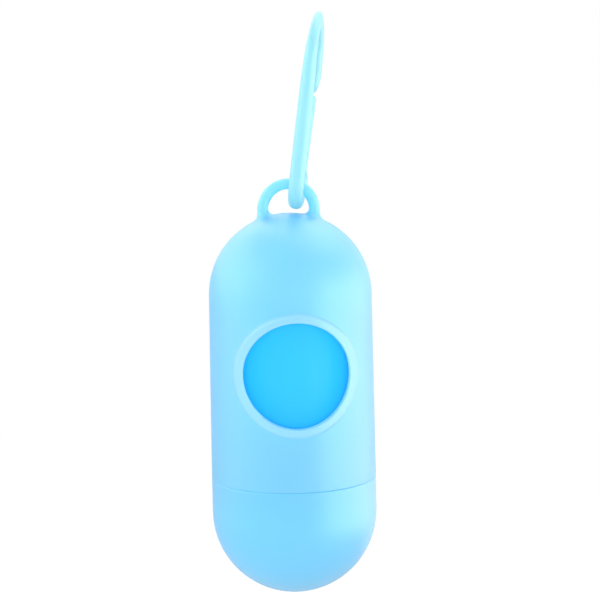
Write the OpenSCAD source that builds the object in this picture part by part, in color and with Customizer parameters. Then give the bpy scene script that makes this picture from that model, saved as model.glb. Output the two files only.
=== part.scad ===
// Capsule dispenser for rolls of dog waste bags, hanging on a moulded snap hook.
// Millimetres, +Z up. The origin is the inside of the hook's top bend, where it hangs.
// The window looks along -Y, and the capsule's axis is parallel to Z.

/* [Capsule] */
// Outside radius at the seam between body and cap
capsule_r = 20; // [19:0.5:24]
// How much smaller the outside radius is at the top dome, for draft
draft = 0.4; // [0:0.1:0.8]
// Straight wall of the body, from the top dome down to the seam
body_wall_len = 44.4; // [42:0.2:56]
// Straight wall of the cap, from the seam down to its dome
cap_wall_len = 8.6; // [7:0.2:14]
// Wall thickness of the body
wall = 1.3; // [1.1:0.1:1.6]
// Wall thickness of the cap
cap_wall = 1.6; // [1.4:0.1:2.2]
// Bevel on both edges of the seam
seam_bevel = 0.25; // [0.1:0.05:0.4]
// Clearance between body and cap at the seam, screwed home
seam_clear = 0.1; // [0.05:0.05:0.2]

/* [Window] */
// Radius of the window that the bags come out of
window_r = 12.5; // [10:0.1:13]
// Window centre, below the start of the top dome
window_drop = 16.9; // [15:0.1:20]
// Width of the raised rim round the window
rim_w = 2; // [1.5:0.1:2.6]
// Height of the rim above the wall
rim_h = 0.9; // [0.4:0.1:1.4]

/* [Eyelet] */
// Inside radius of the eyelet
eyelet_r = 4.9; // [4.6:0.1:6]
// Thickness of the eyelet's round bar
eyelet_bar = 2.6; // [2:0.1:3.2]
// Height of the eyelet's centre above the top of the dome
eyelet_rise = 0.8; // [0.6:0.1:2]

/* [Thread] */
// Rise of the thread in one turn
thread_pitch = 3.6; // [3.2:0.1:4]
// Height of each thread ridge
ridge_h = 0.6; // [0.4:0.05:0.7]
// Width of each ridge at its foot
ridge_foot = 1.7; // [1.4:0.1:1.8]
// Width of each ridge at its crest
ridge_crest = 0.9; // [0.6:0.1:1]
// Angle that each piece of the broken ridge spans, degrees
ridge_span = 50; // [40:2:54]
// Clearance between a ridge's crest and the wall that it faces
crest_clear = 0.15; // [0.1:0.05:0.25]
// Clearance between the flanks that carry the cap
flank_clear = 0.15; // [0.1:0.05:0.2]
// Plain wall beyond each end of the thread
thread_margin = 0.4; // [0.3:0.1:1]
// Wall thickness of the cap's collar, which carries its thread
collar_wall = 1.15; // [1:0.05:1.4]

/* [Bag roll] */
// Length of the roll of bags
roll_len = 62; // [56:1:63]
// Clearance between the roll and the cap's collar
roll_clear = 0.8; // [0.5:0.1:1.5]
// Outside radius of the cardboard core
core_r = 6.5; // [5.5:0.1:6.7]
// Wall thickness of the core
core_wall = 0.9; // [0.6:0.1:1.2]
// How far the core stands out of the film at its top end
core_proud = 0.5; // [0.2:0.1:1]
// Bevel of the film's outer edges
film_edge = 0.6; // [0.3:0.1:1]
// Clearance between the roll and its seat in the cap
seat_clear = 0.3; // [0.2:0.1:0.5]
// Clearance between the film and its core
core_clear = 0.05; // [0.02:0.01:0.1]

/* [Hook] */
// Overall length of the hook
hook_len = 47.2; // [45:0.2:54]
// Overall depth of the hook, from its spine to its nose
hook_depth = 24; // [23:0.5:28]
// Depth of the hook's bar, in the plane of the hook
bar_depth = 3.9; // [3.6:0.1:4.1]
// Thickness of the bar, square to the plane of the hook
bar_thick = 3.55; // [3.2:0.05:3.9]
// Thickness of the bar at the top bend
bar_thick_top = 2.1; // [1.9:0.1:3.2]
// Inside radius of the bottom bend
bend_r = 4; // [3.6:0.1:4.4]
// Height of the gate's free end above the eyelet's bar
gate_top = 25.4; // [22:0.2:26]
// Height of the gate's root above the eyelet's bar
gate_root = 8.5; // [8:0.5:10]
// Thickness of the gate
gate_thick = 2.35; // [2:0.05:2.8]
// Depth of the gate at its root, where it flexes
gate_depth_root = 2; // [1.6:0.1:2.4]
// Depth of the gate at its free end
gate_depth_tip = 3; // [2.6:0.1:3.4]
// Gap between the gate's free end and the nose
nose_gap = 0.4; // [0.3:0.1:0.6]
// Length of the nose's tapered tip
nose_taper = 5; // [4:0.5:6]
// Gap left at the gate's root for it to swing
root_gap = 0.05; // [0.05:0.05:0.2]
// Clearance between the hook's bar and the eyelet that hangs on it
hang_clear = 0.2; // [0.15:0.05:0.3]
// How far the hook's bar lies to the right of the eyelet's centre
hang_side = 1.87; // [0:0.01:1.9]
// Lean of the hook to the right of the capsule's axis, degrees
hook_lean = 8.1; // [0:0.1:15]
// Twist of the hook about its own length, degrees
hook_twist = 8.9; // [0:0.1:15]

/* [Hidden] */
$fn = 96;
over = 5; // how far a cutting shape runs past what it cuts

// Bends of the hook in its own plane: y towards the nose, z up, from the middle of the bottom bar
bottom_r = bend_r + bar_depth / 2;
top_r = (hook_depth - bar_depth) / 2;
bottom_mid = [0, bottom_r];
top_mid = [0, hook_len - bar_depth - top_r];
side_lean = asin((top_r - bottom_r) / (top_mid[1] - bottom_mid[1]));
hang_height = hook_len - bar_depth * 3 / 2;

// Places: the bottom bar and the eyelet's centre, from the point that the hook hangs by
bar_at = -hang_height * [sin(hook_lean), 0, cos(hook_lean)];
hang_reach = eyelet_r - hang_clear - bar_depth / 2;
eyelet_at = bar_at - [hang_side, 0, sqrt(pow(hang_reach, 2) - pow(hang_side, 2))];

// Heights along the capsule's axis, from the eyelet's centre
dome_r = capsule_r - draft;
dome_z = -eyelet_rise - dome_r;
window_z = dome_z - window_drop;
seam_z = dome_z - body_wall_len;
cap_rim_z = seam_z - seam_clear;
cap_dome_z = seam_z - cap_wall_len;

// Radii where body and cap meet
bore_r = capsule_r - wall;
collar_r = bore_r - ridge_h - crest_clear;
collar_bore_r = collar_r - collar_wall;
cap_inside_r = capsule_r - cap_wall;
shoulder_z = cap_rim_z - collar_wall - (cap_inside_r - collar_bore_r);

// Thread: one turn of broken ridge on each piece, and the cap's ridge rests on the body's
ridge_count = 6;
ridge_turn = 360 / ridge_count;
ridge_root = 0.4; // how deep a ridge's foot is sunk in its wall
flank_slope = (ridge_foot - ridge_crest) / 2 / ridge_h;
ridge_step = ridge_crest + flank_slope * (ridge_h - crest_clear) + flank_clear;
part_rise = thread_pitch * ridge_span / 720;
body_thread_z = seam_z + ridge_foot / 2 + part_rise + thread_margin;
cap_thread_z = body_thread_z + ridge_step;
thread_rise = thread_pitch * (1 - 1 / ridge_count);
collar_top_z = cap_thread_z + thread_rise + part_rise + ridge_foot / 2 + thread_margin;

// The roll stands in the cap's dome on the bevel of its film
roll_r = collar_bore_r - roll_clear;
seat_drop = min(dome_drop(roll_r) + film_edge, dome_drop(roll_r - film_edge));
roll_z = cap_dome_z - seat_drop + seat_clear;

// How far below the centre of the cap's dome its inside reaches at radius r
function dome_drop(r) = sqrt(pow(cap_inside_r, 2) - pow(r, 2));

// Sweep of the hook's bar
bend_steps = 24; // rings round each bend
side_steps = 8; // rings along each side
tip_steps = 5; // rings round the gate's rounded ends
section_sides = 20;
section_power = 2.2; // 2 is an ellipse, and higher is squarer
nose_tip = gate_top + nose_gap;
gate_end = gate_depth_root / 2; // the gate's root is round, about the line that it swings on
gate_foot = gate_root - (gate_end + root_gap) * cos(side_lean);

// Point on the centre line of the hook's gate side (side 1) or its spine (side -1) at height z
function side_point(side, z) =
    [side * (bottom_r / cos(side_lean) + (z - bottom_r) * tan(side_lean)), z];

// Point on a bend of radius r, at an angle from +y
function bend_point(mid, r, angle) = mid + r * [cos(angle), sin(angle)];

function mix(a, b, t) = a + (b - a) * t;
function limit(t) = min(1, max(0, t));
function swell(t) = t * t * (3 - 2 * t);
function round_end(t) = sqrt(1 - pow(1 - limit(t), 2));

// Heights on the sides where the bends start
low_z = bottom_r * (1 - sin(side_lean));
high_z = top_mid[1] - top_r * sin(side_lean);

// Centre line of the frame: up from the eyelet's bend, and down the nose
root_line = [for (i = [0 : side_steps - 1]) side_point(1, mix(gate_foot, low_z, i / side_steps))];
bottom_line = [for (i = [0 : bend_steps])
    bend_point(bottom_mid, bottom_r, mix(-side_lean, side_lean - 180, i / bend_steps))];
spine_line = [for (i = [1 : side_steps - 1]) side_point(-1, mix(low_z, high_z, i / side_steps))];
top_line = [for (i = [0 : bend_steps])
    bend_point(top_mid, top_r, mix(180 + side_lean, -side_lean, i / bend_steps))];
nose_line = [for (i = [1 : side_steps * 2])
    side_point(1, mix(high_z, nose_tip, sin(45 * i / side_steps)))];
frame_line = concat(root_line, bottom_line, spine_line, top_line, nose_line);

// Half thickness of the frame's bar at height z: it thins towards the top bend
function bar_half(z) = mix(bar_thick, bar_thick_top, pow(limit(z / (hook_len - bar_depth)), 4)) / 2;

// Half depth and half thickness of the frame's bar at a point of each stretch
function root_section(p) = let (t = swell(limit((gate_foot - p[1]) / (gate_foot - low_z))))
    [mix(gate_depth_root, bar_depth, t), mix(gate_thick, bar_thick, t)] / 2;
function plain_section(p) = [bar_depth / 2, bar_half(p[1])];
function nose_section(p) =
    plain_section(p) * max(0.2, round_end((p[1] - nose_tip) / nose_taper));

frame_sections = concat(
    [for (p = root_line) root_section(p)],
    [for (p = concat(bottom_line, spine_line, top_line)) plain_section(p)],
    [for (p = nose_line) nose_section(p)]
);

// Outline of the bar: half depth a along the first axis and half thickness b along the second
function bar_outline(a, b) = [for (k = [0 : section_sides - 1]) let (t = 360 * k / section_sides)
    [a * sign(cos(t)) * pow(abs(cos(t)), 2 / section_power),
     b * sign(sin(t)) * pow(abs(sin(t)), 2 / section_power)]];

// Sweeps the bar's outline along a line in the hook's plane
module sweep_bar(line, sections) {
    last = len(line) - 1;
    points = [for (i = [0 : last]) let (
        ahead = line[min(i + 1, last)] - line[max(i - 1, 0)],
        out = [ahead[1], -ahead[0]] / norm(ahead))
        for (q = bar_outline(sections[i][0], sections[i][1]))
            [q[1], line[i][0] + out[0] * q[0], line[i][1] + out[1] * q[0]]];
    skin = [for (i = [0 : last - 1]) for (k = [0 : section_sides - 1]) let (
        a = i * section_sides + k,
        b = i * section_sides + (k + 1) % section_sides)
        each [[a, b, b + section_sides], [a, b + section_sides, a + section_sides]]];
    first_end = [for (k = [section_sides - 1 : -1 : 0]) k];
    last_end = [for (k = [0 : section_sides - 1]) last * section_sides + k];
    polyhedron(points, concat(skin, [first_end, last_end]));
}

// Puts the hook's own plane where the hook hangs
module in_hook_place() {
    translate(bar_at) rotate([0, hook_lean, 0]) rotate([0, 0, -hook_twist]) children();
}

// Hook without its gate: root, bottom bend, spine, top bend and tapered nose
module carabiner_frame() {
    color("#a6f1fb") in_hook_place() sweep_bar(frame_line, frame_sections);
}

// Springy gate: a thin arm that swings inward about its round root
module carabiner_gate() {
    heights = concat(
        [for (i = [0 : tip_steps]) gate_root - gate_end * cos(90 * i / tip_steps)],
        [for (i = [1 : side_steps]) mix(gate_root, gate_top, i / (side_steps + 1))],
        [for (i = [0 : tip_steps]) gate_top - gate_end * (1 - sin(90 * i / tip_steps))]
    );
    sections = [for (z = heights) let (
        t = swell(limit((z - gate_root) / (gate_top - gate_root))),
        root_round = round_end(1 - (gate_root - z) / gate_end),
        tip_round = round_end((gate_top - z) / gate_end))
        [mix(gate_depth_root, gate_depth_tip, t), gate_thick] / 2
            * max(0.2, root_round) * max(0.3, tip_round)];
    color("#b4f7fb") in_hook_place()
        sweep_bar([for (z = heights) side_point(1, z)], sections);
}

// Moves what is drawn round the eyelet's centre to where the capsule hangs
module in_capsule_place() {
    translate(eyelet_at) children();
}

// Right-hand half of a disc in the plane of a revolved outline, above or below its centre
module quarter_disc(r, above) {
    intersection() {
        circle(r = r);
        translate([0, above ? 0 : -r - over]) square(r + over);
    }
}

// One turn of broken thread ridge, from root_r in the wall to crest_r, rising from height z
module thread(root_r, crest_r, z) {
    way = sign(crest_r - root_r);
    wall_r = root_r + way * ridge_root;
    root_half = ridge_foot / 2 + flank_slope * ridge_root;
    tilt = atan(thread_pitch / (2 * PI * wall_r));
    for (i = [0 : ridge_count - 1])
        rotate([0, 0, ridge_turn * i])
            translate([0, 0, z + thread_pitch * i / ridge_count])
                rotate([tilt, 0, 0])
                    rotate([0, 0, -ridge_span / 2])
                        rotate_extrude(angle = ridge_span)
                            polygon([
                                [root_r, -root_half],
                                [crest_r, -ridge_crest / 2],
                                [crest_r, ridge_crest / 2],
                                [root_r, root_half]
                            ]);
}

// Outline of the body from its axis out, grown by grow
module body_outline(grow = 0) {
    translate([0, dome_z]) quarter_disc(dome_r + grow, true);
    polygon([
        [0, seam_z],
        [capsule_r - seam_bevel + grow, seam_z],
        [capsule_r + grow, seam_z + seam_bevel],
        [dome_r + grow, dome_z],
        [0, dome_z]
    ]);
}

// Outline of the space inside the body: a straight bore for the collar, then the draft
module body_hollow() {
    translate([0, dome_z]) quarter_disc(dome_r - wall, true);
    polygon([
        [0, seam_z - over],
        [bore_r, seam_z - over],
        [bore_r, collar_top_z + over / 5],
        [dome_r - wall, dome_z],
        [0, dome_z]
    ]);
}

// Cylinder out of the front wall at the window
module at_window(r) {
    translate([0, 0, window_z]) rotate([90, 0, 0]) cylinder(r = r, h = capsule_r + over);
}

// Body: top dome, drafted wall, window with its rim, eyelet and inside thread
module body() {
    color("#93ddfb") in_capsule_place() {
        difference() {
            union() {
                rotate_extrude() body_outline();
                intersection() {
                    rotate_extrude() body_outline(rim_h);
                    at_window(window_r + rim_w);
                }
                rotate([90, 0, 0]) rotate_extrude()
                    translate([eyelet_r + eyelet_bar / 2, 0]) circle(d = eyelet_bar);
            }
            rotate_extrude() body_hollow();
            at_window(window_r);
        }
        thread(bore_r + ridge_root, bore_r - ridge_h, body_thread_z);
    }
}

// Cap: bottom dome, short wall and the threaded collar that goes up inside the body
module cap() {
    color("#86d8fb") in_capsule_place() {
        rotate_extrude() difference() {
            union() {
                translate([0, cap_dome_z]) quarter_disc(capsule_r, false);
                polygon([
                    [0, cap_dome_z],
                    [capsule_r, cap_dome_z],
                    [capsule_r, cap_rim_z - seam_bevel],
                    [capsule_r - seam_bevel, cap_rim_z],
                    [collar_r, cap_rim_z],
                    [collar_r, collar_top_z],
                    [0, collar_top_z]
                ]);
            }
            translate([0, cap_dome_z]) quarter_disc(cap_inside_r, false);
            polygon([
                [0, cap_dome_z],
                [cap_inside_r, cap_dome_z],
                [cap_inside_r, shoulder_z],
                [collar_bore_r, shoulder_z + cap_inside_r - collar_bore_r],
                [collar_bore_r, collar_top_z + over],
                [0, collar_top_z + over]
            ]);
        }
        thread(collar_r - ridge_root, collar_r + ridge_h, cap_thread_z);
    }
}

// Cardboard tube that the bags are wound on
module roll_core() {
    color("#cdb58e") in_capsule_place() translate([0, 0, roll_z]) difference() {
        cylinder(r = core_r, h = roll_len + core_proud);
        translate([0, 0, -over]) cylinder(r = core_r - core_wall, h = roll_len + 3 * over);
    }
}

// Joined bags, wound on the core
module bag_roll() {
    color("#39ccff") in_capsule_place() translate([0, 0, roll_z]) rotate_extrude()
        polygon([
            [core_r + core_clear, 0],
            [roll_r - film_edge, 0],
            [roll_r, film_edge],
            [roll_r, roll_len - film_edge],
            [roll_r - film_edge, roll_len],
            [core_r + core_clear, roll_len]
        ]);
}

carabiner_frame();
carabiner_gate();
body();
cap();
roll_core();
bag_roll();
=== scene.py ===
"""Dog poop bag dispenser: a moulded capsule with a screw cap, hanging on a snap hook.

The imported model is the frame. Each class below puts a detailed skin over one of its moulded
pieces, or over the roll of bags, and dresses it. Sizes are in millimetres, angles in degrees.
"""

import logging
import math
from collections.abc import Sequence
from dataclasses import dataclass, field
from enum import Enum

import bmesh
import bpy
import numpy as np
from mathutils import Matrix, Vector


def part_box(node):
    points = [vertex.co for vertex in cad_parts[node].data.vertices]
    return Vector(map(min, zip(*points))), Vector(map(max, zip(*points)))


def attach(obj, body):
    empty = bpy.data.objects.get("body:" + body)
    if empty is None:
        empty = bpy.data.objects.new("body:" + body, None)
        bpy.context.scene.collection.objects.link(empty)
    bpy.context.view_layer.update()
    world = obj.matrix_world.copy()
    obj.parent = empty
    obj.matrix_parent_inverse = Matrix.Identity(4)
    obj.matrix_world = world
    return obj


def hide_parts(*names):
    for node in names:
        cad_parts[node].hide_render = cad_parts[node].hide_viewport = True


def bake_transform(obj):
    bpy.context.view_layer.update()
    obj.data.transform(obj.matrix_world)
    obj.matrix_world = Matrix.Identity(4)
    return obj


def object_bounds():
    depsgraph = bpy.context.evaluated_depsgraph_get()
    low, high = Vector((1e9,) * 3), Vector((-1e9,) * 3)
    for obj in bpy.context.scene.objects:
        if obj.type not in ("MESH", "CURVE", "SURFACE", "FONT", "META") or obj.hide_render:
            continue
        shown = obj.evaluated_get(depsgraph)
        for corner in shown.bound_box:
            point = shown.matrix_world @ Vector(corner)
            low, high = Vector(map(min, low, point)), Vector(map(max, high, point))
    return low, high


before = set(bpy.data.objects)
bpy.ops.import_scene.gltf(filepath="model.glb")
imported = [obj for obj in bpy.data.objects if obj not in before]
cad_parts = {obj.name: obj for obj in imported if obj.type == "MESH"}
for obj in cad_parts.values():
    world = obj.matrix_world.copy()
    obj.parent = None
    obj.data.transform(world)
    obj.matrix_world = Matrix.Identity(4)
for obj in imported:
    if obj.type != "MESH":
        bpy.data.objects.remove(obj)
CAD_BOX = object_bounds()

MM = 0.001
LOG = logging.getLogger("dispenser")

Pair = tuple[float, float]
Place = tuple[float, float, float]
Outline = list[Pair]
Ring = tuple[float, float, float]  # round the window: radius, lift, flare
Row = list[int]  # numbers of the points in one row of a skin
Tree = bpy.types.NodeTree
Output = bpy.types.NodeSocket
Piece = bpy.types.Object

# Settings of a mapping that goes softly from 1 at its near distance to 0 at its far one
ONE_TO_NONE = {"interpolation_type": "SMOOTHSTEP", "To Min": 1.0, "To Max": 0.0}
WAVE_PHASE = 20.0  # phase that a wave texture gains over one unit of its scaled place
CREASE = 38.0  # angle between faces from which an edge stays sharp


def linear(code: str) -> tuple[float, float, float, float]:
    """Turns a colour into the linear values that the shaders take.

    Args:
        code: sRGB colour, as six hex digits after a hash.

    Returns:
        Linear red, green and blue, with full alpha.
    """
    parts = [int(code[i : i + 2], 16) / 255 for i in (1, 3, 5)]
    red, green, blue = (c / 12.92 if c <= 0.04045 else ((c + 0.055) / 1.055) ** 2.4 for c in parts)
    return red, green, blue, 1.0


def per_metre(size: float) -> float:
    """Gives the texture scale at which one feature of a pattern measures size millimetres."""
    return 1.0 / (size * MM)


def per_wave(spacing: float) -> float:
    """Gives the wave texture's scale at which its waves stand spacing millimetres apart."""
    return math.tau / WAVE_PHASE * per_metre(spacing)


def about(middle: float, spread: float) -> dict[str, float]:
    """Gives the settings that map a noise, mostly 0.3 to 0.7, to values about a middle."""
    return {"From Min": 0.3, "From Max": 0.7, "To Min": middle - spread, "To Max": middle + spread}


def add_node(
    tree: Tree, kind: str, settings: dict[str | int, object] | None = None
) -> bpy.types.Node:
    """Adds one node with its settings and links.

    Args:
        tree: Node tree that takes the node.
        kind: Type of the node, after its ShaderNode prefix.
        settings: Values of the node's own properties, or of its inputs by name or number. An
            output in place of a value is linked, and so is a node, by its first output.

    Returns:
        The new node.
    """
    node = tree.nodes.new(f"ShaderNode{kind}")
    for name, value in (settings or {}).items():
        source = value.outputs[0] if isinstance(value, bpy.types.Node) else value
        if isinstance(source, Output):
            tree.links.new(source, node.inputs[name])
        elif isinstance(name, str) and name.islower():
            setattr(node, name, value)
        else:
            node.inputs[name].default_value = value
    return node


def start_material(name: str) -> tuple[bpy.types.Material, Tree, Output]:
    """Starts a material.

    Args:
        name: Name of the material.

    Returns:
        The material, its node tree, and an output with the place on the piece.
    """
    material = bpy.data.materials.new(name)
    material.use_nodes = True
    tree = material.node_tree
    tree.nodes.clear()
    return material, tree, add_node(tree, "TexCoord").outputs["Object"]


@dataclass(frozen=True)
class PartingLine:
    """Fine raised line that the two halves of a mould leave on a moulding."""

    normal: Place
    at: Place
    width: float = 0.3

    def ridge(self, tree: Tree, place: Output) -> Output:
        """Draws the line where the surface meets the plane between the mould halves.

        Args:
            tree: Node tree of the material.
            place: Output with the place on the surface.

        Returns:
            Output that is 1 on the line and 0 away from it.
        """
        reach = sum(n * p for n, p in zip(self.normal, self.at)) * MM
        along = add_node(tree, "VectorMath", {"operation": "DOT_PRODUCT", 0: place, 1: self.normal})
        off = add_node(tree, "Math", {"operation": "SUBTRACT", 0: along.outputs["Value"], 1: reach})
        apart = add_node(tree, "Math", {"operation": "ABSOLUTE", 0: off})
        span = {"From Min": 0.0, "From Max": self.width / 2 * MM}
        return add_node(tree, "MapRange", {**ONE_TO_NONE, **span, "Value": apart}).outputs[0]


@dataclass(frozen=True)
class PaintedRimHighlight:
    """Painted highlight on a round rim in a moulding, which is thicker than the wall: a paler tone
    in place of the extra light that comes back from it.
    """

    # paler tone painted on the rim as its highlight
    colour: str
    at: Place  # on the axis of the hole, at the wall
    radius: float
    soft: float = 0.5  # width over which the painted highlight fades
    depth: float = 16.0  # how far behind that place the painted highlight ends

    def mask(self, tree: Tree, place: Output) -> Output:
        """Finds the rim, where the highlight is painted, about an axis that runs fore and aft.

        Args:
            tree: Node tree of the material.
            place: Output with the place on the surface.

        Returns:
            Output that is 1 on the rim and 0 off it.
        """
        middle = tuple(x * MM for x in self.at)
        off = add_node(tree, "VectorMath", {"operation": "SUBTRACT", 0: place, 1: middle})
        flat = add_node(tree, "VectorMath", {"operation": "MULTIPLY", 0: off, 1: (1.0, 0.0, 1.0)})
        out = add_node(tree, "VectorMath", {"operation": "LENGTH", 0: flat}).outputs["Value"]
        span = {
            "From Min": (self.radius - self.soft / 2) * MM,
            "From Max": (self.radius + self.soft / 2) * MM,
        }
        near = add_node(tree, "MapRange", {**ONE_TO_NONE, **span, "Value": out})
        behind = add_node(tree, "SeparateXYZ", {0: off}).outputs["Y"]
        front = add_node(tree, "Math", {"operation": "LESS_THAN", 0: behind, 1: self.depth * MM})
        return add_node(tree, "Math", {"operation": "MULTIPLY", 0: near, 1: front}).outputs[0]


@dataclass(frozen=True)
class MouldedPolypropylene:
    """Injection-moulded polypropylene: satin, a little waxy, and milky where light is behind it.

    Its matt light and the light that has passed the wall mix, so shadows stay soft and light blue.
    """

    name: str
    colour: str
    cloud: str  # colour of the faint clouds where the melt cooled more slowly
    glow: str  # colour of the light that has passed the wall
    milkiness: float  # share of the surface that lets light pass
    coat: float = 1.0  # second, even gloss of the skin that froze against the steel
    roughness: float = 0.42
    uneven: float = 0.04  # how much the roughness changes with the clouds
    ior: float = 1.49  # polypropylene
    shine: float = 1.0  # twice the plain gloss, which the milky share would halve
    haze: float = 0.15  # whitish sheen of the blasted skin, strongest where it turns away
    haze_spread: float = 0.6
    cloud_size: float = 14.0
    cloud_edges: Pair = (0.35, 0.65)
    # The steel's fine blast texture is about 0.05 mm, too fine to show: drawn at 0.5 mm
    grain_size: float = 0.5
    grain_depth: float = 0.012
    line: PartingLine | None = None
    line_height: float = 0.03
    # painted highlight on a rim: a paler tone that stands for light, not the plastic's own colour
    rim: PaintedRimHighlight | None = None

    def build(self) -> bpy.types.Material:
        """Makes the material.

        Returns:
            The finished material.
        """
        material, tree, place = start_material(self.name)
        clouds = add_node(
            tree,
            "TexNoise",
            {
                "Vector": place,
                "Scale": per_metre(self.cloud_size),
                "Detail": 3.0,
                "Roughness": 0.45,
            },
        )
        tint = add_node(tree, "ValToRGB", {"Fac": clouds})
        stops = zip(tint.color_ramp.elements, self.cloud_edges, (self.cloud, self.colour))
        for stop, edge, colour in stops:
            stop.position, stop.color = edge, linear(colour)
        tone = tint.outputs[0]
        # Painted highlight: the rim's paler tone is mixed over the plastic's colour
        if self.rim:
            ends = {6: tone, 7: linear(self.rim.colour)}
            highlighted = {"data_type": "RGBA", 0: self.rim.mask(tree, place), **ends}
            tone = add_node(tree, "Mix", highlighted).outputs[2]
        polish = add_node(tree, "MapRange", {"Value": clouds, **about(self.roughness, self.uneven)})
        grain = add_node(
            tree,
            "TexNoise",
            {"Vector": place, "Scale": per_metre(self.grain_size), "Detail": 2.0, "Roughness": 0.6},
        )
        relief = add_node(
            tree, "Bump", {"Height": grain, "Strength": 0.6, "Distance": self.grain_depth * MM}
        )
        if self.line:
            ridge = {"Height": self.line.ridge(tree, place), "Distance": self.line_height * MM}
            relief = add_node(tree, "Bump", {**ridge, "Strength": 1.0, "Normal": relief})
        skin = add_node(
            tree,
            "BsdfPrincipled",
            {
                "Base Color": tone,
                "Roughness": polish,
                "Normal": relief,
                "IOR": self.ior,
                "Specular IOR Level": self.shine,
                "Coat Weight": self.coat,
                "Coat Roughness": self.roughness,
                "Coat IOR": self.ior,
                "Sheen Weight": self.haze,
                "Sheen Roughness": self.haze_spread,
                "Sheen Tint": linear("#FFFFFF"),
            },
        )
        through = add_node(tree, "BsdfTranslucent", {"Color": linear(self.glow), "Normal": relief})
        both = add_node(tree, "MixShader", {0: self.milkiness, 1: skin, 2: through})
        add_node(tree, "OutputMaterial", {"Surface": both})
        return material


@dataclass(frozen=True)
class BlownFilm:
    """Blown polyethylene film, wound tight: soft sheen, and fine creases along the roll."""

    name: str
    colour: str
    roughness: float = 0.6
    uneven: float = 0.06  # how much the roughness changes with the creases
    shine: float = 0.2  # the creases scatter most of the gloss
    dull: float = 1.0  # roughness of the matt light: creased film looks as light at its sides
    ior: float = 1.51  # polyethylene
    crease_size: float = 2.2
    crease_stretch: float = 0.12  # creases run along the roll, about 8 times as long as wide
    crease_depth: float = 0.05
    # The film is 0.015 mm thick; the rings of its wound edges are drawn 3 mm apart to show
    layer_spacing: float = 3.1416
    layer_depth: float = 0.08

    def build(self) -> bpy.types.Material:
        """Makes the material.

        Returns:
            The finished material.
        """
        material, tree, place = start_material(self.name)
        drawn_out = add_node(
            tree, "Mapping", {"Vector": place, "Scale": (1.0, 1.0, self.crease_stretch)}
        )
        creases = add_node(
            tree,
            "TexNoise",
            {
                "Vector": drawn_out,
                "Scale": per_metre(self.crease_size),
                "Detail": 3.0,
                "Roughness": 0.5,
                "Distortion": 0.6,
            },
        )
        # Rings round the roll's axis: they show only on its ends, as the film's wound edges
        layers = add_node(
            tree,
            "TexWave",
            {
                "wave_type": "RINGS",
                "rings_direction": "Z",
                "Vector": place,
                "Scale": per_wave(self.layer_spacing),
                "Distortion": 0.6,
            },
        )
        relief = None
        for height, depth in (
            (creases, self.crease_depth), (layers.outputs["Fac"], self.layer_depth)
        ):
            below = {"Normal": relief} if relief else {}
            bump = {"Height": height, "Strength": 0.5, "Distance": depth * MM}
            relief = add_node(tree, "Bump", {**bump, **below})
        polish = add_node(
            tree, "MapRange", {"Value": creases, **about(self.roughness, self.uneven)}
        )
        skin = add_node(
            tree,
            "BsdfPrincipled",
            {
                "Base Color": linear(self.colour),
                "Roughness": polish,
                "Normal": relief,
                "IOR": self.ior,
                "Specular IOR Level": self.shine,
                "Diffuse Roughness": self.dull,
            },
        )
        add_node(tree, "OutputMaterial", {"Surface": skin})
        return material


@dataclass(frozen=True)
class WoundCard:
    """Grey-brown board wound in a spiral: dull, with fibres and the butt line of its strips."""

    name: str = "wound_card"
    colour: str = "#CDB58E"
    fibre: str = "#A98F68"
    roughness: float = 0.85
    ior: float = 1.45
    # Paper fibres are about 0.03 mm wide, too fine to show: drawn at 0.4 mm
    fibre_size: float = 0.4
    fibre_depth: float = 0.05
    # A strip rises about 29 mm a turn; its butt line is drawn so far apart that one shows at most
    strip_rise: float = 138.23
    strip_slope: float = 35.0
    strip_depth: float = 0.12
    butt: float = 0.02  # share of a strip's rise that its butt line takes

    def build(self) -> bpy.types.Material:
        """Makes the material.

        Returns:
            The finished material.
        """
        material, tree, place = start_material(self.name)
        fibres = add_node(
            tree,
            "TexNoise",
            {
                "Vector": place,
                "Scale": per_metre(self.fibre_size),
                "Detail": 4.0,
                "Distortion": 1.5,
            },
        )
        tint = add_node(tree, "ValToRGB", {"Fac": fibres})
        for stop, colour in zip(tint.color_ramp.elements, (self.fibre, self.colour)):
            stop.color = linear(colour)
        turn = (0.0, math.radians(self.strip_slope), 0.0)
        wound = add_node(tree, "Mapping", {"Vector": place, "Rotation": turn})
        rise = per_wave(self.strip_rise)
        strips = add_node(
            tree, "TexWave", {"bands_direction": "Z", "Vector": wound, "Scale": rise}
        ).outputs["Fac"]
        butt = add_node(tree, "MapRange", {"Value": strips, "From Min": 0.0, "From Max": self.butt})
        relief = add_node(
            tree, "Bump", {"Height": fibres, "Strength": 0.5, "Distance": self.fibre_depth * MM}
        )
        joint = {"Height": butt, "Strength": 0.8, "Distance": self.strip_depth * MM}
        skin = add_node(
            tree,
            "BsdfPrincipled",
            {
                "Base Color": tint,
                "Roughness": self.roughness,
                "IOR": self.ior,
                "Normal": add_node(tree, "Bump", {**joint, "Normal": relief}),
            },
        )
        add_node(tree, "OutputMaterial", {"Surface": skin})
        return material


class Facing(Enum):
    """Side of its wall that a thread ridge stands on: the sign of the way it points."""

    INWARD = -1
    OUTWARD = 1


def arc(mid: Pair, radius: float, first: float, last: float, steps: int) -> Outline:
    """Draws an arc in an outline.

    Args:
        mid: Centre of the arc.
        radius: Radius of the arc.
        first: Angle of its first point, from the outline's first axis.
        last: Angle of its last point.
        steps: Number of stretches along it.

    Returns:
        Points of the arc, both ends with it.
    """
    angles = [math.radians(first + (last - first) * i / steps) for i in range(steps + 1)]
    return [(mid[0] + radius * math.cos(a), mid[1] + radius * math.sin(a)) for a in angles]


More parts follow.
